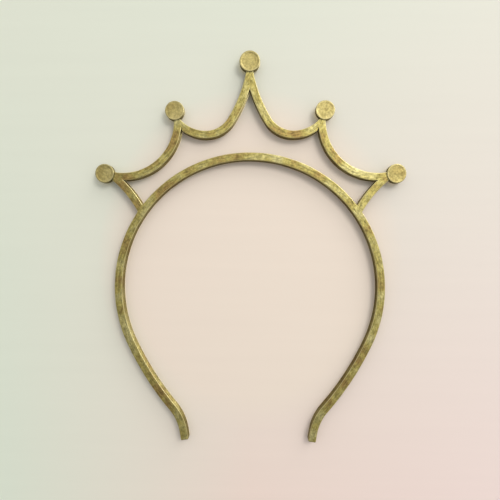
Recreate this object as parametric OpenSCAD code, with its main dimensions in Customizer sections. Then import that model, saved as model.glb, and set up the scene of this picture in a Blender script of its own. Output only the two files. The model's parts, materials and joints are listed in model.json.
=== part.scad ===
// Crown headband: a horseshoe hoop of flat bar with two struts, four scalloped swags and five discs.
// The crown stands upright, +Z up, with its front face towards -Y. Left (-X) and right (+X) are as seen
// from the front.
// The origin is where the hoop's underside rests on top of the head, midway through its thickness.

/* [Bar] */
// Width of the bar's front face
bar_w = 3.9; // [3.4:0.1:4.6]
// Thickness of the bar, front to back
bar_t = 4.5; // [3:0.1:6]

/* [Hoop] */
// Radius of the hoop's upper arc, to the middle of the bar
hoop_r = 66.9; // [64:0.1:70]
// How far the upper arc runs on below the level of its centre, in degrees
hoop_wrap = 24.7; // [20:0.1:28]
// Radius of the long, flatter stretch of each leg
leg_r = 152; // [140:2:180]
// Turn of that stretch, in degrees
leg_turn = 15.2; // [10:0.1:17]
// Radius of the outward bend above each foot
foot_r = 26.4; // [20:0.1:32]
// Turn of the bend above the foot, in degrees
foot_turn = 31; // [20:1:36]
// Straight tip at the end of each leg
foot_tip = 4.2; // [2:0.1:8]

/* [Leg flex] */
// Height of each leg's flexing point round the hoop, in degrees above the level of its centre
flex_angle = 20; // [12:1:26]
// Radius of the leg's round top
flex_r = 1.6; // [1.2:0.1:1.65]
// Running gap between the leg's round top and the cup that it turns in
flex_gap = 0.05; // [0.02:0.01:0.1]

/* [Struts] */
// Height of the strut's root round the hoop, in degrees above the level of its centre
strut_angle = 35.4; // [33:0.1:38]
// Direction in which the strut leaves the hoop, in degrees above level
strut_rise = 62.5; // [58:0.5:66]
// Radius of the strut's bend
strut_r = 59; // [50:1:80]
// Turn of the strut's bend, in degrees
strut_turn = 24; // [23:0.5:27]

/* [Outer swags] */
// Distance of the outer swag's centre from the middle of the crown
outer_swag_x = 64.3; // [63:0.1:66]
// Height of the outer swag's centre
outer_swag_z = 19.8; // [19:0.1:21]
// Radius of the outer swag, to the middle of the bar
outer_swag_r = 28.1; // [27:0.1:29]

/* [Inner swags] */
// Distance of the inner swag's lowest point from the middle of the crown
inner_swag_x = 22.1; // [21:0.1:23]
// Height of the inner swag's lowest point, at the middle of the bar
inner_swag_z = 12.8; // [12:0.1:14]
// Radius of the side that rises to the inner peak
inner_rise_r = 19.3; // [18.5:0.1:20.5]
// Radius of the tight bend on the side that rises to the centre peak
centre_bend_r = 15.2; // [14:0.1:16]
// Turn of that tight bend, in degrees
centre_bend_turn = 58; // [56:1:60]
// Radius of the long stretch up to the centre peak
centre_rise_r = 70; // [60:1:80]

/* [Discs] */
// Diameter of the centre disc
centre_disc_d = 10.3; // [9:0.1:12]
// Height of the centre disc's middle
centre_disc_z = 49.1; // [47:0.1:52]
// Diameter of the other four discs
side_disc_d = 9.6; // [8.6:0.1:11]
// Distance of an inner disc from the middle of the crown
inner_disc_x = 37.8; // [37:0.1:39]
// Height of an inner disc's middle
inner_disc_z = 24.8; // [24:0.1:26]
// Distance of an outer disc from the middle of the crown
outer_disc_x = 73.6; // [72:0.1:75]
// Height of an outer disc's middle
outer_disc_z = -6.7; // [-8:0.1:-5.5]
// Thickness of a disc
disc_t = 3; // [2:0.1:4]
// How far a disc stands proud of the bar's front face
disc_proud = 0.3; // [0.1:0.05:0.6]
// Chamfer round a disc's rim
disc_chamfer = 0.5; // [0.2:0.05:0.8]

/* [Hidden] */

bar_colour = "#A3935A";
disc_colour = "#B5A468";

// Segments of a full turn, for the long bends and for the small round pieces
bend_fn = 180;
round_fn = 64;

// Spacing of the stations round a bend that is drawn point by point, as radius times degrees
station_gap = 150;

// Larger than the crown, for the blocks that trim a bar at a mitre
span = 300;

hoop_centre = [0, -(hoop_r - bar_w / 2)];
centre_disc_at = [0, centre_disc_z];
inner_disc_at = [inner_disc_x, inner_disc_z];
outer_disc_at = [outer_disc_x, outer_disc_z];

// Each mitre line starts at its disc's middle and runs this way, in degrees
centre_mitre = -90;
inner_mitre = -111;
outer_mitre = -161.5;

// How far the hoop's arch stops short of the flexing point, which leaves the leg room to swing
flex_rise = 0.4;

// The point where a leg flexes, on the middle of the bar
flex_at = hoop_centre + hoop_r * [cos(flex_angle), sin(flex_angle)];

// Angles round the outer swag's centre that carry its ends past the mitres
outer_swag_start = 165;
outer_swag_end = 285;

// Turns of the inner swag's two rising sides: one ends inside its disc, and the other ends level
// with the middle of the centre disc
inner_rise_turn = 75;
centre_bend_heading = 180 - centre_bend_turn;
centre_bend_top = inner_swag_z + centre_bend_r * (1 - cos(centre_bend_turn));
centre_rise_turn = centre_bend_heading
    - acos(cos(centre_bend_heading) + (centre_disc_z - centre_bend_top) / centre_rise_r);

// The direction to the left of a heading
function left_normal(heading) = [-sin(heading), cos(heading)];

// Stations round a bend, each [point, heading], which leave out the point it starts from
function bend_stations(at, heading, r, turn) =
    let (n = ceil(r * abs(turn) / station_gap), reach = sign(turn) * r)
    [for (k = [1:n]) let (h = heading + turn * k / n)
        [at + reach * (left_normal(heading) - left_normal(h)), h]];

// Stations along a run of bends. Each bend is [radius, turn in degrees], to the left if positive.
function run_stations(at, heading, bends, i = 0) =
    i == len(bends) ? [] :
    let (here = bend_stations(at, heading, bends[i][0], bends[i][1]), last = here[len(here) - 1])
    concat(here, run_stations(last[0], last[1], bends, i + 1));

// An arc of bar about the origin, from one angle to another
module bar_arc(r, from, to) {
    rotate(from) rotate_extrude(angle = to - from, $fn = bend_fn)
        translate([r - bar_w / 2, -bar_t / 2]) square([bar_w, bar_t]);
}

// A bar that follows a run of bends from a point, with a straight tip at its end
module bar_run(at, heading, bends, tip = 0) {
    bent = concat([[at, heading]], run_stations(at, heading, bends));
    last = bent[len(bent) - 1];
    stations = concat(bent, tip > 0 ? [[last[0] + tip * [cos(last[1]), sin(last[1])], last[1]]] : []);
    sides = [for (s = stations) bar_w / 2 * left_normal(s[1])];
    n = len(stations);
    left_edge = [for (k = [0:n - 1]) stations[k][0] + sides[k]];
    right_edge = [for (k = [n - 1:-1:0]) stations[k][0] - sides[k]];
    translate([0, 0, -bar_t / 2]) linear_extrude(bar_t) polygon(concat(left_edge, right_edge));
}

// The part of a bar that lies to the left of a line from a point, looking the way the line runs
module left_of(point, direction) {
    intersection() {
        children();
        translate(point) rotate(direction) translate([-span / 2, 0, -bar_t]) cube([span, span, 2 * bar_t]);
    }
}

// The part of a bar that lies to the right of such a line
module right_of(point, direction) {
    left_of(point, direction + 180) children();
}

// A round hole through the crown, which a disc fills
module disc_seat(at, d) {
    translate(concat(at, -bar_t)) cylinder(d = d, h = 2 * bar_t, $fn = round_fn);
}

// Turns the flat drawing upright, with its front face towards -Y
module upright() {
    rotate([90, 0, 0]) children();
}

// Makes a piece of the +X half into its twin in the -X half
module other_side() {
    mirror([1, 0, 0]) children();
}

module disc(at, d) {
    r = d / 2;
    c = disc_chamfer;
    front = bar_t / 2 + disc_proud;
    back = front - disc_t;
    color(disc_colour) upright() translate(at)
        rotate_extrude($fn = round_fn)
            polygon([[0, back], [r - c, back], [r, back + c], [r, front - c], [r - c, front], [0, front]]);
}

// The hoop between its two flexing points, with a round cup at each end
module hoop_arch() {
    end_angle = flex_angle + asin(flex_rise / hoop_r);
    color(bar_colour) upright() difference() {
        translate(hoop_centre) bar_arc(hoop_r, end_angle, 180 - end_angle);
        for (side = [-1, 1])
            translate([side * flex_at[0], flex_at[1], -bar_t])
                cylinder(r = flex_r + flex_gap, h = 2 * bar_t, $fn = round_fn);
    }
}

// A leg from its round top down to its foot
module leg() {
    bends = [[hoop_r, -flex_angle - hoop_wrap], [leg_r, -leg_turn], [foot_r, foot_turn]];
    color(bar_colour) upright() {
        translate(concat(flex_at, -bar_t / 2)) cylinder(r = flex_r, h = bar_t, $fn = round_fn);
        bar_run(flex_at, flex_angle - 90, bends, foot_tip);
    }
}

// A strut from the hoop's outer edge up to the outer disc
module strut() {
    root = hoop_centre + hoop_r * [cos(strut_angle), sin(strut_angle)];
    bend_centre = root - strut_r * left_normal(strut_rise);
    color(bar_colour) upright() difference() {
        right_of(outer_disc_at, outer_mitre + 180)
            translate(bend_centre) bar_arc(strut_r, strut_rise + 90 - strut_turn, strut_rise + 90);
        translate(concat(hoop_centre, -bar_t))
            cylinder(r = hoop_r + bar_w / 2, h = 2 * bar_t, $fn = bend_fn);
        disc_seat(outer_disc_at, side_disc_d);
    }
}

// The swag between an outer and an inner peak
module outer_swag() {
    color(bar_colour) upright() difference() {
        left_of(outer_disc_at, outer_mitre + 180) left_of(inner_disc_at, inner_mitre)
            translate([outer_swag_x, outer_swag_z]) bar_arc(outer_swag_r, outer_swag_start, outer_swag_end);
        disc_seat(outer_disc_at, side_disc_d);
        disc_seat(inner_disc_at, side_disc_d);
    }
}

// The swag between an inner peak and the centre peak, as one run down from the inner peak
module inner_swag() {
    start = [inner_swag_x + inner_rise_r * sin(inner_rise_turn),
             inner_swag_z + inner_rise_r * (1 - cos(inner_rise_turn))];
    bends = [[inner_rise_r, -inner_rise_turn], [centre_bend_r, -centre_bend_turn],
             [centre_rise_r, -centre_rise_turn]];
    color(bar_colour) upright() difference() {
        right_of(inner_disc_at, inner_mitre) left_of(centre_disc_at, centre_mitre)
            bar_run(start, 180 + inner_rise_turn, bends);
        disc_seat(inner_disc_at, side_disc_d);
        disc_seat(centre_disc_at, centre_disc_d);
    }
}

module right_leg() {
    leg();
}

module left_leg() {
    other_side() leg();
}

module right_strut() {
    strut();
}

module left_strut() {
    other_side() strut();
}

module right_inner_swag() {
    inner_swag();
}

module left_inner_swag() {
    other_side() inner_swag();
}

module right_outer_swag() {
    outer_swag();
}

module left_outer_swag() {
    other_side() outer_swag();
}

module centre_disc() {
    disc(centre_disc_at, centre_disc_d);
}

module right_inner_disc() {
    disc(inner_disc_at, side_disc_d);
}

module left_inner_disc() {
    other_side() disc(inner_disc_at, side_disc_d);
}

module right_outer_disc() {
    disc(outer_disc_at, side_disc_d);
}

module left_outer_disc() {
    other_side() disc(outer_disc_at, side_disc_d);
}

hoop_arch();
left_leg();
right_leg();
left_strut();
right_strut();
left_inner_swag();
right_inner_swag();
left_outer_swag();
right_outer_swag();
centre_disc();
left_inner_disc();
right_inner_disc();
left_outer_disc();
right_outer_disc();
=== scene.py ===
"""Looks of the crown headband: worn, antiqued brass bars and coin-like discs, lying on a pale sheet.
The crown is in the X-Z plane with its front face towards -Y. Lengths are in metres."""

import json
import math

import bmesh
import bpy
from mathutils import Matrix, Vector, noise

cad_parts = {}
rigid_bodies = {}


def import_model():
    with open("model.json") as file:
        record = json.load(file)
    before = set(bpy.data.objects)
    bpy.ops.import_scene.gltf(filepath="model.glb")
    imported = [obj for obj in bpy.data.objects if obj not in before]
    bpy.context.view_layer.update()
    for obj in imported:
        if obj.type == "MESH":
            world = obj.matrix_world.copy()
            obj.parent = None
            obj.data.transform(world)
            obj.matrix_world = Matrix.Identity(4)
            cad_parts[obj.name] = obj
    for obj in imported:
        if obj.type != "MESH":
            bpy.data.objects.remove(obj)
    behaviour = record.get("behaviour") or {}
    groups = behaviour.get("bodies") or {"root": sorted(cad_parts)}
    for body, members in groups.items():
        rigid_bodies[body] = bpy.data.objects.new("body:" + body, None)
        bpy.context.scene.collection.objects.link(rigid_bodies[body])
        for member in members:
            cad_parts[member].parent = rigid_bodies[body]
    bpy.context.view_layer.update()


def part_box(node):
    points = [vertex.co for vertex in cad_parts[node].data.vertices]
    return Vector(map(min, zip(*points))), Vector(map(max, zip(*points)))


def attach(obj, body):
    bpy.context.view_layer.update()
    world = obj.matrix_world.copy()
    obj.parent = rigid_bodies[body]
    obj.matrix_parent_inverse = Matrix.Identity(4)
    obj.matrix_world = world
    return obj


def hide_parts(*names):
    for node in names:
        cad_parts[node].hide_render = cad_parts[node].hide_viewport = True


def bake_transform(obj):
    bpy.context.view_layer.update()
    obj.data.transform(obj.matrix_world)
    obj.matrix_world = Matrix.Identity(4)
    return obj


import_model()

MM = 0.001

# ---- Sizes read from the frame ------------------------------------------------------------------

BAR_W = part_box("hoop_arch")[1].z
BAR_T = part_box("hoop_arch")[1].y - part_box("hoop_arch")[0].y
HOOP_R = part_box("right_leg")[1].x - BAR_W / 2
HOOP_CENTRE = Vector((0.0, BAR_W / 2 - HOOP_R))
FOOT_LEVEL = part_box("right_leg")[0].z
DISC_NODES = ("centre_disc", "left_inner_disc", "right_inner_disc", "left_outer_disc", "right_outer_disc")


def disc_of(node):
    """A disc's centre in the crown's plane, and its radius."""
    low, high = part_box(node)
    middle = (low + high) / 2
    return Vector((middle.x, middle.z)), (high.x - low.x) / 2


DISCS = [disc_of(node) for node in DISC_NODES]

# ---- Bends of the bars, the same as the part's own ----------------------------------------------

HOOP_WRAP = math.radians(24.7)
LEG_R = 152 * MM
LEG_TURN = math.radians(15.2)
FOOT_R = 26.4 * MM
FOOT_TURN = math.radians(31)
FOOT_TIP = 4.2 * MM

STRUT_ANGLE = math.radians(35.4)
STRUT_RISE = math.radians(62.5)
STRUT_R = 59 * MM
STRUT_TURN = math.radians(24)

OUTER_SWAG = Vector((64.3, 19.8)) * MM
OUTER_SWAG_R = 28.1 * MM
OUTER_SWAG_FROM = math.radians(165)
OUTER_SWAG_TO = math.radians(285)

INNER_SWAG = Vector((22.1, 12.8)) * MM
INNER_RISE_R = 19.3 * MM
INNER_RISE_TURN = math.radians(75)
CENTRE_BEND_R = 15.2 * MM
CENTRE_BEND_TURN = math.radians(58)
CENTRE_RISE_R = 70 * MM
CENTRE_RISE_TURN = math.radians(25.5)

CENTRE_MITRE = math.radians(-90)
INNER_MITRE = math.radians(-111)
OUTER_MITRE = math.radians(-161.5)

# ---- How the metal is finished ------------------------------------------------------------------

# Bars: the bevel, how unevenly it is filed, and where it dies away
BEVEL = 0.3 * MM
BEVEL_SHARE = 0.45
BEVEL_LEAST = 0.03 * MM
BEVEL_LUMP = 5 * MM
BEVEL_SEED = 11.0
JOIN_FADE = 0.9 * MM
TIP_ROUND = 0.5 * MM
TIP_RINGS = 6
TIP_BEVEL_LOSS = 0.6
TIP_BEVEL_LEAST = 0.02 * MM
RING_GAP = 0.55 * MM

# Where a bar's end is cut: how far it runs in under a disc, and how finely the cut is found
SINK = 0.3 * MM
CUT_STEPS = 160
CUT_HALVINGS = 26
FOOTPRINT_STEP = 0.02 * MM

# Wear: its depth, and the size, share and seed of its broad and fine lumps
WEAR = 0.035 * MM
BROAD_LUMP = 9 * MM
BROAD_SHARE = 0.8
FINE_LUMP = 2.2 * MM
FINE_SHARE = 0.5
FINE_SEED = 5.0

# Discs: the bevel, the dish and its slope as shares of the radius, and the wear of rim and face
DISC_BEVEL = 0.28 * MM
DISC_BACK_BEVEL = 0.8 * DISC_BEVEL
DISC_DISH = 0.05 * MM
DEEP_DISHES = {"centre_disc": 0.16 * MM, "left_outer_disc": 0.14 * MM}
DISH_EDGE = 0.88
DISH_SLOPE = 0.14
CREST_EDGE = 0.12
DISC_SIDES = 144
RIM_LUMP = 4 * MM
RIM_SHARE = 1.3
RIM_SEED = 3.0
COIN_LUMP = 2.6 * MM
COIN_SHARE = 1.2
COIN_SEED = 7.0
PIT_LUMP = 1.1 * MM
PIT_SHARE = 0.7
PIT_SEED = 9.0

# Brass: how much of its colour is left on the walls, partly tarnish and partly painted shade, at their
# feet, as painted contact shade, and where a bar meets a disc, as painted shade
BAR_WALL_TARNISH_AND_SHADE = 0.5
DISC_WALL_TARNISH_AND_SHADE = 0.3
WALL_FOOT_SHADE = 0.62
NECK_REACH = 0.9 * MM
NECK_SHADE = 0.5

# Brass: its rubbed bevels, the tint of its gloss at a low angle, and its thin old lacquer
RUBBED_ROUGHNESS = 0.34
GRAZING_GOLD = (1.0, 0.92, 0.7, 1.0)
LACQUER = 0.1
LACQUER_ROUGHNESS = 0.4

# Brass: lumps per metre of the patches and specks, and of the lines along and across a bar
PATCH_SCALE = (105.0, 105.0, 105.0)
SPECK_SCALE = (900.0, 900.0, 900.0)
LINE_SCALE = (300.0, 1500.0, 1.0)

# Brass: how deep its scratches and pits are, and how strongly they show
SCRATCH_DEPTH = 0.05 * MM
PIT_DEPTH = 0.06 * MM
BUMP_STRENGTH = 0.35

# The legs part from the arch just below the strut
SEAM_ANGLE = math.radians(33.6)

# ---- The stage ----------------------------------------------------------------------------------

STAGE_HALF_WIDTH = 1.2
STAGE_TOP = 1.0
FLOOR_FRONT = -1.6
FLOOR_BACK = 1.2
FLOOR_DROP = 0.12
FLOOR_TINT = (0.5, 0.48, 0.43, 1.0)
MATT = 0.8

# The sheet's tints, left to right along its lower and upper parts, and in an oval inside the hoop
SHEET_GAP = 0.1 * MM
SHEET_HALF = 0.13
SHEET_LOW_Z = -0.18
SHEET_TOP_Z = 0.08
SHEET_LOW = ((0.763, 0.819, 0.683), (0.884, 0.726, 0.640), (0.907, 0.746, 0.694))
SHEET_TOP = ((0.761, 0.791, 0.665), (0.740, 0.769, 0.651), (0.768, 0.756, 0.662))
SHEET_INNER = (0.871, 0.755, 0.641)
SHEET_OVAL = (71 * MM, 80 * MM)
SHEET_OVAL_Z = -52 * MM
SHEET_FADE = 0.12
SHEET_GRAIN = (9.0, 1.0, 160.0)

# The room's side that is brightest, its least and greatest light, and what the camera sees of it
ROOM_BRIGHT_SIDE = (0.4, -0.3, 0.85)
ROOM_DARK = 0.09
ROOM_BRIGHT = 1.02
BACKDROP = (0.76, 0.74, 0.68)

# Each lamp's place, width and power. They all point at the middle of the crown
LIT_POINT = (0.0, 0.0, -0.045)
LAMP_COLOUR = (1.0, 0.98, 0.95)
KEY_LAMP = ((0.44, -0.80, 0.41), 0.42, 3.4)
TOP_LAMP = ((0.55, -0.35, 0.80), 0.6, 2.2)
RIM_LAMP = ((0.60, 0.80, 0.28), 0.5, 6.4)

# The camera's place, aim and roll. Its lens is a share of the sensor's width
CAMERA_AT = Vector((5.683, -202.0, -38.708)) * MM
CAMERA_TARGET = Vector((0.5, 0.0, -45.362)) * MM
CAMERA_ROLL = math.radians(0.266)
SENSOR_WIDTH = 36.0
LENS_SHARE = 0.788674
NEAREST_SEEN = 10 * MM


# ---- Paths --------------------------------------------------------------------------------------

def heading_vector(heading):
    return Vector((math.cos(heading), math.sin(heading)))


def left_normal(heading):
    return Vector((-math.sin(heading), math.cos(heading)))


def place_on(segment, s):
    """The point and heading at distance s along one bend or straight."""
    at, heading, curvature, _ = segment
    if curvature == 0:
        return at + s * heading_vector(heading), heading
    turned = heading + curvature * s
    return at + (left_normal(heading) - left_normal(turned)) / curvature, turned


def make_path(at, heading, bends, tip=0.0):
    """A run of bends, each (radius, turn), to the left if positive, with a straight tip."""
    path = []
    for radius, turn in bends:
        path.append((at, heading, math.copysign(1 / radius, turn), radius * abs(turn)))
        at, heading = place_on(path[-1], path[-1][3])
    if tip:
        path.append((at, heading, 0.0, tip))
    return path


def path_length(path):
    return sum(segment[3] for segment in path)


def walk(path, s):
    """The point and heading at distance s along a path, which runs on past either end."""
    for segment in path[:-1]:
        if s <= segment[3]:
            return place_on(segment, s)
        s -= segment[3]
    return place_on(path[-1], s)


def on_hoop(angle):
    """The point of the hoop's middle line at an angle round its centre."""
    return HOOP_CENTRE + HOOP_R * heading_vector(angle)


# ---- Where a bar stops --------------------------------------------------------------------------

def past_mitre(corner, direction, keep_left):
    """A measure that is positive on the far side of a mitre line."""
    across = left_normal(direction) * (-1 if keep_left else 1)
    return lambda p: (p - corner).dot(across)


def inside_disc(centre, radius):
    """A measure that is positive within a disc, but for the rim that a bar runs in under."""
    return lambda p: radius - SINK - (p - centre).length


def inside_hoop(p):
    """Positive within the hoop's outer edge."""
    return HOOP_R + BAR_W / 2 - (p - HOOP_CENTRE).length


def either(*measures):
    """A measure that is positive where any of the measures is."""
    return lambda p: max(measure(p) for measure in measures)


# ---- The bar's section --------------------------------------------------------------------------

def section_template():
    """The strands round the bar's section, each (kind, side, depth, angle). side and depth run from
    -1 to 1 across the flat it lies on, and angle is how far round a corner's bevel it has turned."""
    flat = 9
    wall = 7
    corner = 5
    strands = []

    def face(depth, direction):
        for k in range(flat):
            side = direction * (1 - 2 * k / (flat - 1))
            strands.append(("face", side, depth, 0.0))

    def turn(side, depth, from_face):
        for k in range(1, corner):
            share = k / corner if from_face else 1 - k / corner
            strands.append(("corner", side, depth, share * math.pi / 2))

    def edge(side, from_depth):
        for k in range(wall):
            strands.append(("wall", side, from_depth * (1 - 2 * k / (wall - 1)), 0.0))

    face(-1, 1)
    turn(-1, -1, True)
    edge(-1, -1)
    turn(-1, 1, False)
    face(1, -1)
    turn(1, 1, True)
    edge(1, 1)
    turn(1, -1, False)
    return strands


STRANDS = section_template()


def section_point(strand, left_bevel, right_bevel, inset):
    """Where a strand lies: its offset across the bar, its depth, and the normal in both."""
    kind, side, depth, angle = strand
    half_w = BAR_W / 2 - inset
    half_t = BAR_T / 2 - inset
    whole = left_bevel if side > 0 else right_bevel
    bevel = max(TIP_BEVEL_LEAST, whole - TIP_BEVEL_LOSS * inset)
    if kind == "face":
        return side * (half_w - bevel), depth * half_t, 0.0, depth
    if kind == "wall":
        return side * half_w, depth * (half_t - bevel), side, 0.0
    n = side * (half_w - bevel + bevel * math.sin(angle))
    y = depth * (half_t - bevel + bevel * math.cos(angle))
    return n, y, side * math.sin(angle), depth * math.cos(angle)


def edge_of(strand):
    """0 on a flat face, 1 on a side wall, and between them round a bevel."""
    kind, _, _, angle = strand
    return {"face": 0.0, "wall": 1.0}.get(kind, angle / (math.pi / 2))


# ---- Wear ---------------------------------------------------------------------------------------

def uneven(point, size, seed=0.0):
    """Smooth noise from -1 to 1, with lumps of about the size given."""
    return noise.noise(point / size + Vector((seed, 1.7 * seed, -seed)))


def wear_at(point):
    """How far the hand-filed surface stands in or out at a point."""
    broad = uneven(point, BROAD_LUMP)
    fine = uneven(point, FINE_LUMP, FINE_SEED)
    return WEAR * (BROAD_SHARE * broad + FINE_SHARE * fine)


def bevel_at(point, joined):
    """The bevel at a point of the bar's edge, which dies away where a piece is joined on."""
    worn = BEVEL * (1 + BEVEL_SHARE * uneven(point, BEVEL_LUMP, BEVEL_SEED))
    return max(BEVEL_LEAST, worn * joined)


def neck_at(point):
    """1 where a bar runs into a disc, dying away to 0 a little way off: where the painted shade at a neck
    lies.
    """
    gap = min((Vector((point.x, point.z)) - centre).length - radius for centre, radius in DISCS)
    return min(1.0, max(0.0, 1 - gap / NECK_REACH))


# ---- Building a bar -----------------------------------------------------------------------------

class Bar:
    """A bar with a bevelled section that follows a path between two ends."""

    def __init__(self, path, start_cut=None, end_cut=None, joined=None, round_end=False):
        self.path = path
        self.start_cut = start_cut
        self.end_cut = end_cut
        self.joined = joined
        self.round_end = round_end
        self.length = path_length(path)

    def strand_at(self, strand, s, sign):
        """Where a strand is at distance s along the path, with its bevel and wear."""
        at, heading = walk(self.path, s)
        across = left_normal(heading)
        inset = 0.0
        if self.round_end and s > self.length - TIP_ROUND:
            into = 1 - (self.length - s) / TIP_ROUND
            inset = TIP_ROUND * (1 - math.sqrt(max(0.0, 1 - into * into)))
        joins = self.joined(at) if self.joined else (1.0, 1.0)
        left_edge = at + across * BAR_W / 2
        right_edge = at - across * BAR_W / 2
        left = bevel_at(Vector((sign * left_edge.x, 0.0, left_edge.y)), joins[0])
        right = bevel_at(Vector((sign * right_edge.x, 0.0, right_edge.y)), joins[1])
        n, y, n_normal, y_normal = section_point(strand, left, right, inset)
        flat = at + n * across
        point = Vector((sign * flat.x, y, flat.y))
        worn = wear_at(point)
        flat += n_normal * worn * across
        return Vector((sign * flat.x, y + y_normal * worn, flat.y))

    def cross(self, strand, cut, kept, limit, sign):
        """The distance along the path at which a strand meets a cut, from a kept point outwards."""
        last = kept
        for k in range(1, CUT_STEPS + 1):
            s = kept + (limit - kept) * k / CUT_STEPS
            p = self.strand_at(strand, s, sign)
            if cut(Vector((sign * p.x, p.z))) > 0:
                return self.halve(strand, cut, last, s, sign)
            last = s
        raise ValueError("a strand never meets its cut")

    def halve(self, strand, cut, kept, gone, sign):
        """The same distance, closed in on between a kept point and a cut-off one."""
        for _ in range(CUT_HALVINGS):
            middle = (kept + gone) / 2
            p = self.strand_at(strand, middle, sign)
            if cut(Vector((sign * p.x, p.z))) > 0:
                gone = middle
            else:
                kept = middle
        return kept

    def ends(self, strand, sign):
        """The distances along the path at which a strand starts and ends."""
        start = 0.0
        end = self.length
        if self.start_cut:
            start = self.cross(strand, self.start_cut, self.length / 2, 0.0, sign)
        if self.end_cut:
            end = self.cross(strand, self.end_cut, self.length / 2, self.length, sign)
        return start, end

    def build(self, name, sign=1):
        """The bar as a mesh object, with UVs that run along it. sign -1 makes the left-hand twin."""
        spans = [self.ends(strand, sign) for strand in STRANDS]
        rings = math.ceil(self.length / RING_GAP)
        shares = [k / rings for k in range(rings + 1)]
        if self.round_end:
            tip = [1 - TIP_ROUND / self.length * (k / TIP_RINGS) ** 2 for k in range(TIP_RINGS)]
            shares = sorted(set(shares[:-1] + tip))
        bm = bmesh.new()
        uv = bm.loops.layers.uv.new("Along")
        grid = []
        edge = bm.verts.layers.float.new("edge")
        neck = bm.verts.layers.float.new("neck")
        along = {}
        for share in shares:
            row = []
            for index, strand in enumerate(STRANDS):
                s = spans[index][0] + (spans[index][1] - spans[index][0]) * share
                vert = bm.verts.new(self.strand_at(strand, s, sign))
                vert[edge] = edge_of(strand)
                vert[neck] = neck_at(vert.co)
                along[vert] = (s, index)
                row.append(vert)
            grid.append(row)
        count = len(STRANDS)
        around = 2 * (BAR_W + BAR_T)
        for low, high in zip(grid, grid[1:]):
            for i in range(count):
                j = (i + 1) % count
                quad = bm.faces.new((low[i], low[j], high[j], high[i]))
                quad.smooth = True
                for loop in quad.loops:
                    s, index = along[loop.vert]
                    if index == 0 and i == count - 1:
                        index = count
                    loop[uv].uv = (s, around * index / count)
        for row in (grid[0], grid[-1]):
            # The cap has corners of its own, so that it doesn't tilt the shading of the bar's faces
            bm.faces.new([bm.verts.new(vert.co) for vert in row])
        bmesh.ops.recalc_face_normals(bm, faces=bm.faces)
        return mesh_object(name, bm)


def mesh_object(name, bm):
    mesh = bpy.data.meshes.new(name)
    bm.to_mesh(mesh)
    bm.free()
    obj = bpy.data.objects.new(name, mesh)
    bpy.context.scene.collection.objects.link(obj)
    return obj


# ---- Building a disc ----------------------------------------------------------------------------

def dish_depth(share, depth):
    """How far the disc's face lies below its rim's crest, at a share of the radius."""
    inner = DISH_EDGE - DISH_SLOPE
    climb = min(1.0, max(0.0, (share - inner) / DISH_SLOPE))
    return depth * (1 - climb * climb * (3 - 2 * climb))


def disc_profile(radius, front, back, depth):
    """Half of a disc's outline from the middle of its face round to the middle of its back, each
    (radius, depth, edge), where edge is 0 on a face and 1 on the rim's wall."""
    bevel = DISC_BEVEL
    back_bevel = DISC_BACK_BEVEL
    face_rings = 28
    wall_rings = 5
    steps = 8
    profile = []
    for k in range(face_rings):
        out = (radius - bevel) * k / face_rings
        dish = dish_depth(out / radius, depth)
        profile.append((out, front + dish, CREST_EDGE * (1 - dish / depth)))
    for k in range(steps + 1):
        turn = math.pi / 2 * k / steps
        out = radius - bevel + bevel * math.sin(turn)
        edge = CREST_EDGE + (1 - CREST_EDGE) * k / steps
        profile.append((out, front + bevel * (1 - math.cos(turn)), edge))
    wall_from = front + bevel
    wall_to = back - back_bevel
    for k in range(1, wall_rings):
        profile.append((radius, wall_from + (wall_to - wall_from) * k / wall_rings, 1.0))
    for k in range(steps + 1):
        turn = math.pi / 2 * k / steps
        out = radius - back_bevel + back_bevel * math.cos(turn)
        profile.append((out, wall_to + back_bevel * math.sin(turn), 1 - k / steps))
    profile += [((radius - back_bevel) * k / face_rings, back, 0.0) for k in range(face_rings - 1, -1, -1)]
    return profile


def build_disc(node):
    """A coin-like disc in the CAD disc's place, with a softly rounded, slightly uneven rim."""
    low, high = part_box(node)
    middle = (low + high) / 2
    radius = (high.x - low.x) / 2
    profile = disc_profile(radius, low.y, high.y, DEEP_DISHES.get(node, DISC_DISH))
    bm = bmesh.new()
    edge_layer = bm.verts.layers.float.new("edge")
    rows = []
    for r, y, edge in profile[1:-1]:
        row = []
        for k in range(DISC_SIDES):
            angle = 2 * math.pi * k / DISC_SIDES
            out = Vector((math.cos(angle), 0.0, math.sin(angle)))
            point = Vector((middle.x, y, middle.z)) + r * out
            point += out * (r / radius) * WEAR * RIM_SHARE * uneven(point, RIM_LUMP, RIM_SEED)
            dents = COIN_SHARE * uneven(point, COIN_LUMP, COIN_SEED)
            pits = PIT_SHARE * uneven(point, PIT_LUMP, PIT_SEED)
            point.y += WEAR * (dents + pits)
            vert = bm.verts.new(point)
            vert[edge_layer] = edge
            row.append(vert)
        rows.append(row)
    for low_row, high_row in zip(rows, rows[1:]):
        for k in range(DISC_SIDES):
            j = (k + 1) % DISC_SIDES
            bm.faces.new((low_row[k], low_row[j], high_row[j], high_row[k])).smooth = True
    for row in (rows[0], rows[-1]):
        hub = bm.verts.new((middle.x, sum(v.co.y for v in row) / DISC_SIDES, middle.z))
        for k in range(DISC_SIDES):
            bm.faces.new((hub, row[k], row[(k + 1) % DISC_SIDES])).smooth = True
    bmesh.ops.recalc_face_normals(bm, faces=bm.faces)
    return mesh_object(node + "_coin", bm)


# ---- Materials ----------------------------------------------------------------------------------

def new_material(name):
    material = bpy.data.materials.new(name)
    material.use_nodes = True
    nodes = material.node_tree.nodes
    nodes.clear()
    return material, nodes, material.node_tree.links


def add(nodes, kind, **settings):
    node = nodes.new(kind)
    for key, value in settings.items():
        if key in node.inputs.keys():
            node.inputs[key].default_value = value
        else:
            setattr(node, key, value)
    return node


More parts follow.
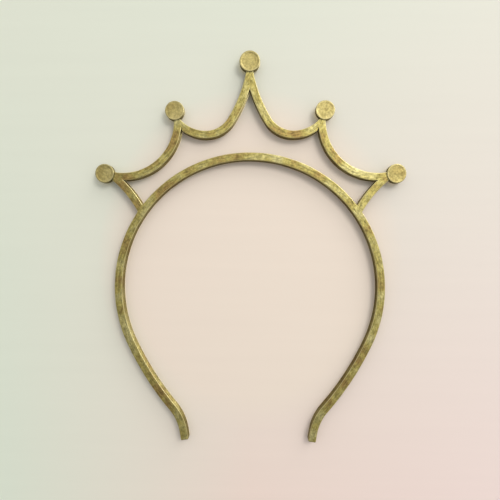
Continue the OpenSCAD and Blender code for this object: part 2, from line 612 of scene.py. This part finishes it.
def ramp(nodes, links, factor, stops):
    node = nodes.new("ShaderNodeValToRGB")
    elements = node.color_ramp.elements
    while len(elements) < len(stops):
        elements.new(0.5)
    for element, (position, colour) in zip(elements, stops):
        element.position = position
        element.color = colour
    links.new(factor, node.inputs["Fac"])
    return node.outputs["Color"]


def grey(value):
    return (value, value, value, 1.0)


def mix(nodes, links, factor, a, b, blend="MIX"):
    node = add(nodes, "ShaderNodeMix", data_type="RGBA", blend_type=blend)
    for socket, value in ((node.inputs[0], factor), (node.inputs[6], a), (node.inputs[7], b)):
        if isinstance(value, bpy.types.NodeSocket):
            links.new(value, socket)
        else:
            socket.default_value = value
    return node.outputs[2]


def between(nodes, links, value, low, high):
    """How far a coordinate lies from low to high, from 0 to 1."""
    node = add(nodes, "ShaderNodeMapRange")
    links.new(value, node.inputs["Value"])
    node.inputs["From Min"].default_value = low
    node.inputs["From Max"].default_value = high
    return node.outputs["Result"]


def stretched(nodes, links, coords, scale, detail, roughness):
    """Noise with its own number of lumps per metre along each axis."""
    stretch = add(nodes, "ShaderNodeMapping")
    stretch.inputs["Scale"].default_value = scale
    links.new(coords, stretch.inputs["Vector"])
    node = add(nodes, "ShaderNodeTexNoise", Scale=1.0, Detail=detail, Roughness=roughness)
    links.new(stretch.outputs["Vector"], node.inputs["Vector"])
    return node.outputs["Fac"]


def mottled(nodes, links, palette, patches, lines, streak, specks, grit):
    """A gold with brown patches, crossed by polishing lines and dotted with grime."""
    bright, mid, dark = palette
    base = ramp(nodes, links, patches, [(0.36, dark), (0.5, mid), (0.66, bright)])
    streaks = ramp(nodes, links, lines, [
        (0.34, grey(1 - streak)), (0.5, grey(0.97)), (0.64, grey(1 + 0.55 * streak))])
    base = mix(nodes, links, 1.0, base, streaks, "MULTIPLY")
    grime = ramp(nodes, links, specks, [
        (0.34, grey(1 - grit)), (0.48, grey(0.96)), (0.62, grey(1 + 0.5 * grit))])
    return mix(nodes, links, 1.0, base, grime, "MULTIPLY")


def tarnished_and_shaded(nodes, links, base, coords, edge, wall_tarnish_and_shade):
    """The colour, dulled more and more down the walls, partly as tarnish and partly as painted shade, with
    painted contact shade at their feet, and painted shade where a bar runs into a disc.
    """
    split = nodes.new("ShaderNodeSeparateXYZ")
    links.new(coords, split.inputs["Vector"])
    deep = between(nodes, links, split.outputs["Y"], -BAR_T / 2, BAR_T / 2)
    # Painted shade: the walls are darkened, more towards their feet at the back, partly as tarnish and
    # partly as painted shade
    tarnish_and_shade = ramp(nodes, links, deep, [
        (0.3, grey(wall_tarnish_and_shade)), (0.95, grey(wall_tarnish_and_shade * WALL_FOOT_SHADE))])
    on_wall = ramp(nodes, links, edge, [(0.6, grey(0.0)), (0.95, grey(1.0))])
    walls = mix(nodes, links, on_wall, grey(1.0), tarnish_and_shade)
    base = mix(nodes, links, 1.0, base, walls, "MULTIPLY")
    neck = add(nodes, "ShaderNodeAttribute", attribute_name="neck").outputs["Fac"]
    # Painted shade in the recess where a bar runs into a disc
    neck_shade = ramp(nodes, links, neck, [(0.1, grey(1.0)), (0.75, grey(NECK_SHADE))])
    return mix(nodes, links, 1.0, base, neck_shade, "MULTIPLY")


def scratched(nodes, links, lines, specks):
    """The normal of a surface with fine scratches and pits."""
    scratches = add(nodes, "ShaderNodeBump", Strength=BUMP_STRENGTH, Distance=SCRATCH_DEPTH)
    links.new(lines, scratches.inputs["Height"])
    pits = add(nodes, "ShaderNodeBump", Strength=BUMP_STRENGTH, Distance=PIT_DEPTH)
    links.new(specks, pits.inputs["Height"])
    links.new(scratches.outputs["Normal"], pits.inputs["Normal"])
    return pits.outputs["Normal"]


def brass(name, palette, rubbed_highlight_gold, grain, rough_range, grit, streak, wall_tarnish_and_shade):
    """Antiqued brass: a mottled olive gold with brown patches, painted bright along its bevels, partly as
    rubbed wear and partly as a painted highlight, and darkened down its walls, partly as tarnish and
    partly as painted shade. grain names a UV map whose first axis the polishing lines follow."""
    material, nodes, links = new_material(name)
    coords = nodes.new("ShaderNodeTexCoord").outputs["Object"]
    line_scale = SPECK_SCALE
    lines_on = coords
    if grain:
        line_scale = LINE_SCALE
        lines_on = add(nodes, "ShaderNodeUVMap", uv_map=grain).outputs["UV"]
    patches = stretched(nodes, links, coords, PATCH_SCALE, detail=5.0, roughness=0.62)
    specks = stretched(nodes, links, coords, SPECK_SCALE, detail=4.0, roughness=0.75)
    lines = stretched(nodes, links, lines_on, line_scale, detail=3.0, roughness=0.6)

    base = mottled(nodes, links, palette, patches, lines, streak, specks, grit)
    edge = add(nodes, "ShaderNodeAttribute", attribute_name="edge").outputs["Fac"]
    # Painted highlight: the bevels are painted brighter, partly as rubbed wear and partly as a painted
    # highlight along the edges
    rubbed_and_highlit = ramp(nodes, links, edge, [
        (0.06, grey(0.0)), (0.25, grey(1.0)), (0.6, grey(0.8)), (0.85, grey(0.0))])
    base = mix(nodes, links, rubbed_and_highlit, base, rubbed_highlight_gold)
    base = tarnished_and_shaded(nodes, links, base, coords, edge, wall_tarnish_and_shade)
    smooth, dull = rough_range
    rough = ramp(nodes, links, specks, [(0.3, grey(dull)), (0.7, grey(smooth))])
    rough = mix(nodes, links, rubbed_and_highlit, rough, grey(RUBBED_ROUGHNESS))

    shader = add(nodes, "ShaderNodeBsdfPrincipled", Metallic=1.0)
    shader.inputs["Specular Tint"].default_value = GRAZING_GOLD
    shader.inputs["Coat Weight"].default_value = LACQUER
    shader.inputs["Coat Roughness"].default_value = LACQUER_ROUGHNESS
    links.new(base, shader.inputs["Base Color"])
    links.new(rough, shader.inputs["Roughness"])
    links.new(scratched(nodes, links, lines, specks), shader.inputs["Normal"])
    output = nodes.new("ShaderNodeOutputMaterial")
    links.new(shader.outputs["BSDF"], output.inputs["Surface"])
    return material


def bar_brass():
    bright = (0.56, 0.50, 0.222, 1.0)
    mid = (0.43, 0.365, 0.112, 1.0)
    dark = (0.344, 0.237, 0.079, 1.0)
    # The bevels' colour: rubbed wear, brightened as a painted highlight
    rubbed_highlight_gold = (0.70, 0.62, 0.31, 1.0)
    return brass("bar_brass", (bright, mid, dark), rubbed_highlight_gold, grain="Along", rough_range=(0.44, 0.64),
                 grit=0.38, streak=0.42, wall_tarnish_and_shade=BAR_WALL_TARNISH_AND_SHADE)


def disc_brass():
    bright = (0.539, 0.456, 0.195, 1.0)
    mid = (0.456, 0.381, 0.144, 1.0)
    dark = (0.372, 0.288, 0.098, 1.0)
    # The rim's colour: rubbed wear, brightened as a painted highlight
    rubbed_highlight_gold = (0.51, 0.445, 0.22, 1.0)
    return brass("disc_brass", (bright, mid, dark), rubbed_highlight_gold, grain=None, rough_range=(0.48, 0.64),
                 grit=0.16, streak=0.14, wall_tarnish_and_shade=DISC_WALL_TARNISH_AND_SHADE)


def sheet_tint(nodes, links, coords):
    """Green-grey at the left and pinkish at the right and inside the hoop, with faint streaks."""
    split = nodes.new("ShaderNodeSeparateXYZ")
    links.new(coords, split.inputs["Vector"])
    across = between(nodes, links, split.outputs["X"], -SHEET_HALF, SHEET_HALF)
    up = between(nodes, links, split.outputs["Z"], SHEET_LOW_Z, SHEET_TOP_Z)
    low = ramp(nodes, links, across, [(k / 2, (*tint, 1.0)) for k, tint in enumerate(SHEET_LOW)])
    top = ramp(nodes, links, across, [(k / 2, (*tint, 1.0)) for k, tint in enumerate(SHEET_TOP)])
    outer = mix(nodes, links, up, low, top)
    oval = add(nodes, "ShaderNodeMapping", vector_type="TEXTURE")
    oval.inputs["Location"].default_value = (0.0, 0.0, SHEET_OVAL_Z)
    oval.inputs["Scale"].default_value = (SHEET_OVAL[0], 1.0, SHEET_OVAL[1])
    links.new(coords, oval.inputs["Vector"])
    away = add(nodes, "ShaderNodeVectorMath", operation="LENGTH")
    links.new(oval.outputs["Vector"], away.inputs[0])
    inside = between(nodes, links, away.outputs["Value"], 1 + SHEET_FADE, 1 - SHEET_FADE)
    tint = mix(nodes, links, inside, outer, (*SHEET_INNER, 1.0))
    streaks = stretched(nodes, links, coords, SHEET_GRAIN, detail=3.0, roughness=0.5)
    faint = ramp(nodes, links, streaks, [(0.3, grey(0.985)), (0.7, grey(1.0))])
    return mix(nodes, links, 1.0, tint, faint, "MULTIPLY")


def sheet_material():
    """A pale matt sheet, seen from its front and clear from behind."""
    material, nodes, links = new_material("pale_sheet")
    coords = nodes.new("ShaderNodeTexCoord").outputs["Object"]
    shader = add(nodes, "ShaderNodeBsdfPrincipled", Roughness=MATT)
    links.new(sheet_tint(nodes, links, coords), shader.inputs["Base Color"])
    clear = nodes.new("ShaderNodeBsdfTransparent")
    back = nodes.new("ShaderNodeNewGeometry").outputs["Backfacing"]
    choose = nodes.new("ShaderNodeMixShader")
    links.new(back, choose.inputs["Fac"])
    links.new(shader.outputs["BSDF"], choose.inputs[1])
    links.new(clear.outputs["BSDF"], choose.inputs[2])
    output = nodes.new("ShaderNodeOutputMaterial")
    links.new(choose.outputs["Shader"], output.inputs["Surface"])
    return material


def floor_material():
    material, nodes, links = new_material("pale_floor")
    shader = add(nodes, "ShaderNodeBsdfPrincipled", Roughness=MATT)
    shader.inputs["Base Color"].default_value = FLOOR_TINT
    output = nodes.new("ShaderNodeOutputMaterial")
    links.new(shader.outputs["BSDF"], output.inputs["Surface"])
    return material


# ---- The crown ----------------------------------------------------------------------------------

def dress(obj, node, body, material):
    """Gives a finished piece its material and hides the CAD node's part in its place. A piece of the crown
    is hung on the crown's body, and any other has its place baked into its mesh.
    """
    obj.data.materials.append(material)
    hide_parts(node)
    if body == "crown":
        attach(obj, body)
    else:
        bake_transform(obj)


def strut_path():
    """From the hoop's middle line up past the outer disc."""
    return make_path(on_hoop(STRUT_ANGLE), STRUT_RISE, [(STRUT_R, -STRUT_TURN)])


def strut_footprint():
    """The angles round the hoop between which the strut is joined on."""
    path = strut_path()
    angles = []
    for side in (-1, 1):
        s = 0.0
        corner = HOOP_CENTRE
        while inside_hoop(corner) >= 0:
            at, heading = walk(path, s)
            corner = at + side * BAR_W / 2 * left_normal(heading)
            s += FOOTPRINT_STEP
        away = corner - HOOP_CENTRE
        angles.append(math.atan2(away.y, away.x))
    return min(angles), max(angles)


def hoop_joins(outer_is_left):
    """Shares of the bevel kept on the hoop's two edges, which is none under a strut."""
    low, high = strut_footprint()

    def joins(at):
        away = at - HOOP_CENTRE
        angle = math.atan2(away.y, abs(away.x))
        gap = max(low - angle, angle - high, 0.0) * HOOP_R
        kept = min(1.0, gap / JOIN_FADE)
        return (kept, 1.0) if outer_is_left else (1.0, kept)

    return joins


def build_hoop(metal):
    over = [(HOOP_R, math.pi - 2 * SEAM_ANGLE)]
    arch = Bar(make_path(on_hoop(SEAM_ANGLE), SEAM_ANGLE + math.pi / 2, over), joined=hoop_joins(False))
    dress(arch.build("hoop_arch_bar"), "hoop_arch", "crown", metal)
    bends = [(HOOP_R, -SEAM_ANGLE - HOOP_WRAP), (LEG_R, -LEG_TURN), (FOOT_R, FOOT_TURN)]
    leg = make_path(on_hoop(SEAM_ANGLE), SEAM_ANGLE - math.pi / 2, bends, FOOT_TIP)
    bar = Bar(leg, joined=hoop_joins(True), round_end=True)
    dress(bar.build("right_leg_bar"), "right_leg", "right_leg", metal)
    dress(bar.build("left_leg_bar", -1), "left_leg", "left_leg", metal)


def build_struts(metal):
    outer, radius = disc_of("right_outer_disc")
    stop = either(past_mitre(outer, OUTER_MITRE + math.pi, False), inside_disc(outer, radius))
    bar = Bar(strut_path(), start_cut=inside_hoop, end_cut=stop)
    dress(bar.build("right_strut_bar"), "right_strut", "crown", metal)
    dress(bar.build("left_strut_bar", -1), "left_strut", "crown", metal)


def build_outer_swags(metal):
    outer, radius = disc_of("right_outer_disc")
    inner, _ = disc_of("right_inner_disc")
    start = OUTER_SWAG + OUTER_SWAG_R * heading_vector(OUTER_SWAG_FROM)
    turn = OUTER_SWAG_TO - OUTER_SWAG_FROM
    path = make_path(start, OUTER_SWAG_FROM + math.pi / 2, [(OUTER_SWAG_R, turn)])
    begin = either(past_mitre(inner, INNER_MITRE, True), inside_disc(inner, radius))
    stop = either(past_mitre(outer, OUTER_MITRE + math.pi, True), inside_disc(outer, radius))
    bar = Bar(path, start_cut=begin, end_cut=stop)
    dress(bar.build("right_outer_swag_bar"), "right_outer_swag", "crown", metal)
    dress(bar.build("left_outer_swag_bar", -1), "left_outer_swag", "crown", metal)


def build_inner_swags(metal):
    inner, radius = disc_of("right_inner_disc")
    centre, centre_radius = disc_of("centre_disc")
    rise = INNER_RISE_R * Vector((math.sin(INNER_RISE_TURN), 1 - math.cos(INNER_RISE_TURN)))
    bends = [(INNER_RISE_R, -INNER_RISE_TURN), (CENTRE_BEND_R, -CENTRE_BEND_TURN),
             (CENTRE_RISE_R, -CENTRE_RISE_TURN)]
    path = make_path(INNER_SWAG + rise, math.pi + INNER_RISE_TURN, bends)
    begin = either(past_mitre(inner, INNER_MITRE, False), inside_disc(inner, radius))
    stop = either(past_mitre(centre, CENTRE_MITRE, True), inside_disc(centre, centre_radius))
    bar = Bar(path, start_cut=begin, end_cut=stop)
    dress(bar.build("right_inner_swag_bar"), "right_inner_swag", "crown", metal)
    dress(bar.build("left_inner_swag_bar", -1), "left_inner_swag", "crown", metal)


def build_discs(metal):
    for node in DISC_NODES:
        dress(build_disc(node), node, "crown", metal)


# ---- Stage, light and camera --------------------------------------------------------------------

def build_sheet():
    """The pale sheet that the crown lies against, just behind its back."""
    bm = bmesh.new()
    y = BAR_T / 2 + SHEET_GAP
    low = FOOT_LEVEL - FLOOR_DROP
    half = STAGE_HALF_WIDTH
    corners = [(-half, low), (half, low), (half, STAGE_TOP), (-half, STAGE_TOP)]
    bm.faces.new([bm.verts.new((x, y, z)) for x, z in corners])
    sheet = mesh_object("pale_sheet", bm)
    sheet.data.materials.append(sheet_material())


def build_floor():
    """The pale floor below, which isn't seen in reflections and throws no colour on the crown."""
    bm = bmesh.new()
    z = FOOT_LEVEL - FLOOR_DROP
    half = STAGE_HALF_WIDTH
    corners = [(-half, FLOOR_FRONT), (half, FLOOR_FRONT), (half, FLOOR_BACK), (-half, FLOOR_BACK)]
    bm.faces.new([bm.verts.new((x, y, z)) for x, y in corners])
    floor = mesh_object("pale_floor", bm)
    floor.data.materials.append(floor_material())
    floor.visible_glossy = False
    floor.visible_diffuse = False


def light_only(lamp, objects):
    """Keeps a lamp's light and shadows to some objects, so that the sheet doesn't get in its way."""
    lit = bpy.data.collections.new(lamp.name + "_lit")
    for obj in objects:
        lit.objects.link(obj)
    lamp.light_linking.receiver_collection = lit
    lamp.light_linking.blocker_collection = lit


def add_lamp(name, lamp):
    """A round area lamp, given as its place, width and power."""
    at, size, power = lamp
    light = bpy.data.lights.new(name, "AREA")
    light.shape = "DISK"
    light.size = size
    light.energy = power
    light.color = LAMP_COLOUR
    obj = bpy.data.objects.new(name, light)
    bpy.context.scene.collection.objects.link(obj)
    obj.visible_camera = False
    obj.location = at
    obj.rotation_euler = (Vector(LIT_POINT) - Vector(at)).to_track_quat("-Z", "Y").to_euler()
    return obj


def build_world():
    """A pale room, brighter towards the upper right than towards the lower left, with a plain
    backdrop for the camera."""
    world = bpy.data.worlds.new("studio")
    bpy.context.scene.world = world
    world.use_nodes = True
    nodes = world.node_tree.nodes
    links = world.node_tree.links
    direction = nodes.new("ShaderNodeTexCoord").outputs["Generated"]
    towards = add(nodes, "ShaderNodeVectorMath", operation="DOT_PRODUCT")
    links.new(direction, towards.inputs[0])
    towards.inputs[1].default_value = Vector(ROOM_BRIGHT_SIDE).normalized()
    strength = add(nodes, "ShaderNodeMapRange", interpolation_type="SMOOTHSTEP")
    links.new(towards.outputs["Value"], strength.inputs["Value"])
    strength.inputs["From Min"].default_value = -1.0
    strength.inputs["From Max"].default_value = 1.0
    strength.inputs["To Min"].default_value = ROOM_DARK
    strength.inputs["To Max"].default_value = ROOM_BRIGHT
    room = nodes["Background"]
    room.inputs["Color"].default_value = (1.0, 1.0, 1.0, 1.0)
    links.new(strength.outputs["Result"], room.inputs["Strength"])
    backdrop = nodes.new("ShaderNodeBackground")
    backdrop.inputs["Color"].default_value = (*BACKDROP, 1.0)
    choose = nodes.new("ShaderNodeMixShader")
    links.new(nodes.new("ShaderNodeLightPath").outputs["Is Camera Ray"], choose.inputs["Fac"])
    links.new(room.outputs["Background"], choose.inputs[1])
    links.new(backdrop.outputs["Background"], choose.inputs[2])
    links.new(choose.outputs["Shader"], nodes["World Output"].inputs["Surface"])


def build_light(crown):
    """A key light from the upper right and a soft light above, in a pale room. A third light from
    behind picks out the crown's walls and back."""
    add_lamp("key", KEY_LAMP)
    add_lamp("top", TOP_LAMP)
    rim = add_lamp("rim", RIM_LAMP)
    light_only(rim, crown)
    build_world()
    bpy.context.scene.view_settings.view_transform = "Standard"


def build_camera():
    """The camera looks at the crown's face from close in front, a little to the right."""
    camera = bpy.data.cameras.new("camera")
    camera.sensor_width = SENSOR_WIDTH
    camera.lens = SENSOR_WIDTH * LENS_SHARE
    camera.clip_start = NEAREST_SEEN
    camera.dof.use_dof = False
    obj = bpy.data.objects.new("camera", camera)
    bpy.context.scene.collection.objects.link(obj)
    turn = (CAMERA_TARGET - CAMERA_AT).to_track_quat("-Z", "Y").to_matrix().to_4x4()
    obj.matrix_world = Matrix.Translation(CAMERA_AT) @ turn @ Matrix.Rotation(CAMERA_ROLL, 4, "Z")
    bpy.context.scene.camera = obj


def build_crown():
    """Builds the crown's pieces and gives them back."""
    bars = bar_brass()
    discs = disc_brass()
    build_hoop(bars)
    build_struts(bars)
    build_outer_swags(bars)
    build_inner_swags(bars)
    build_discs(discs)
    return [obj for obj in bpy.context.scene.objects if obj.name.endswith(("_bar", "_coin"))]


crown = build_crown()
build_sheet()
build_floor()
build_light(crown)
build_camera()
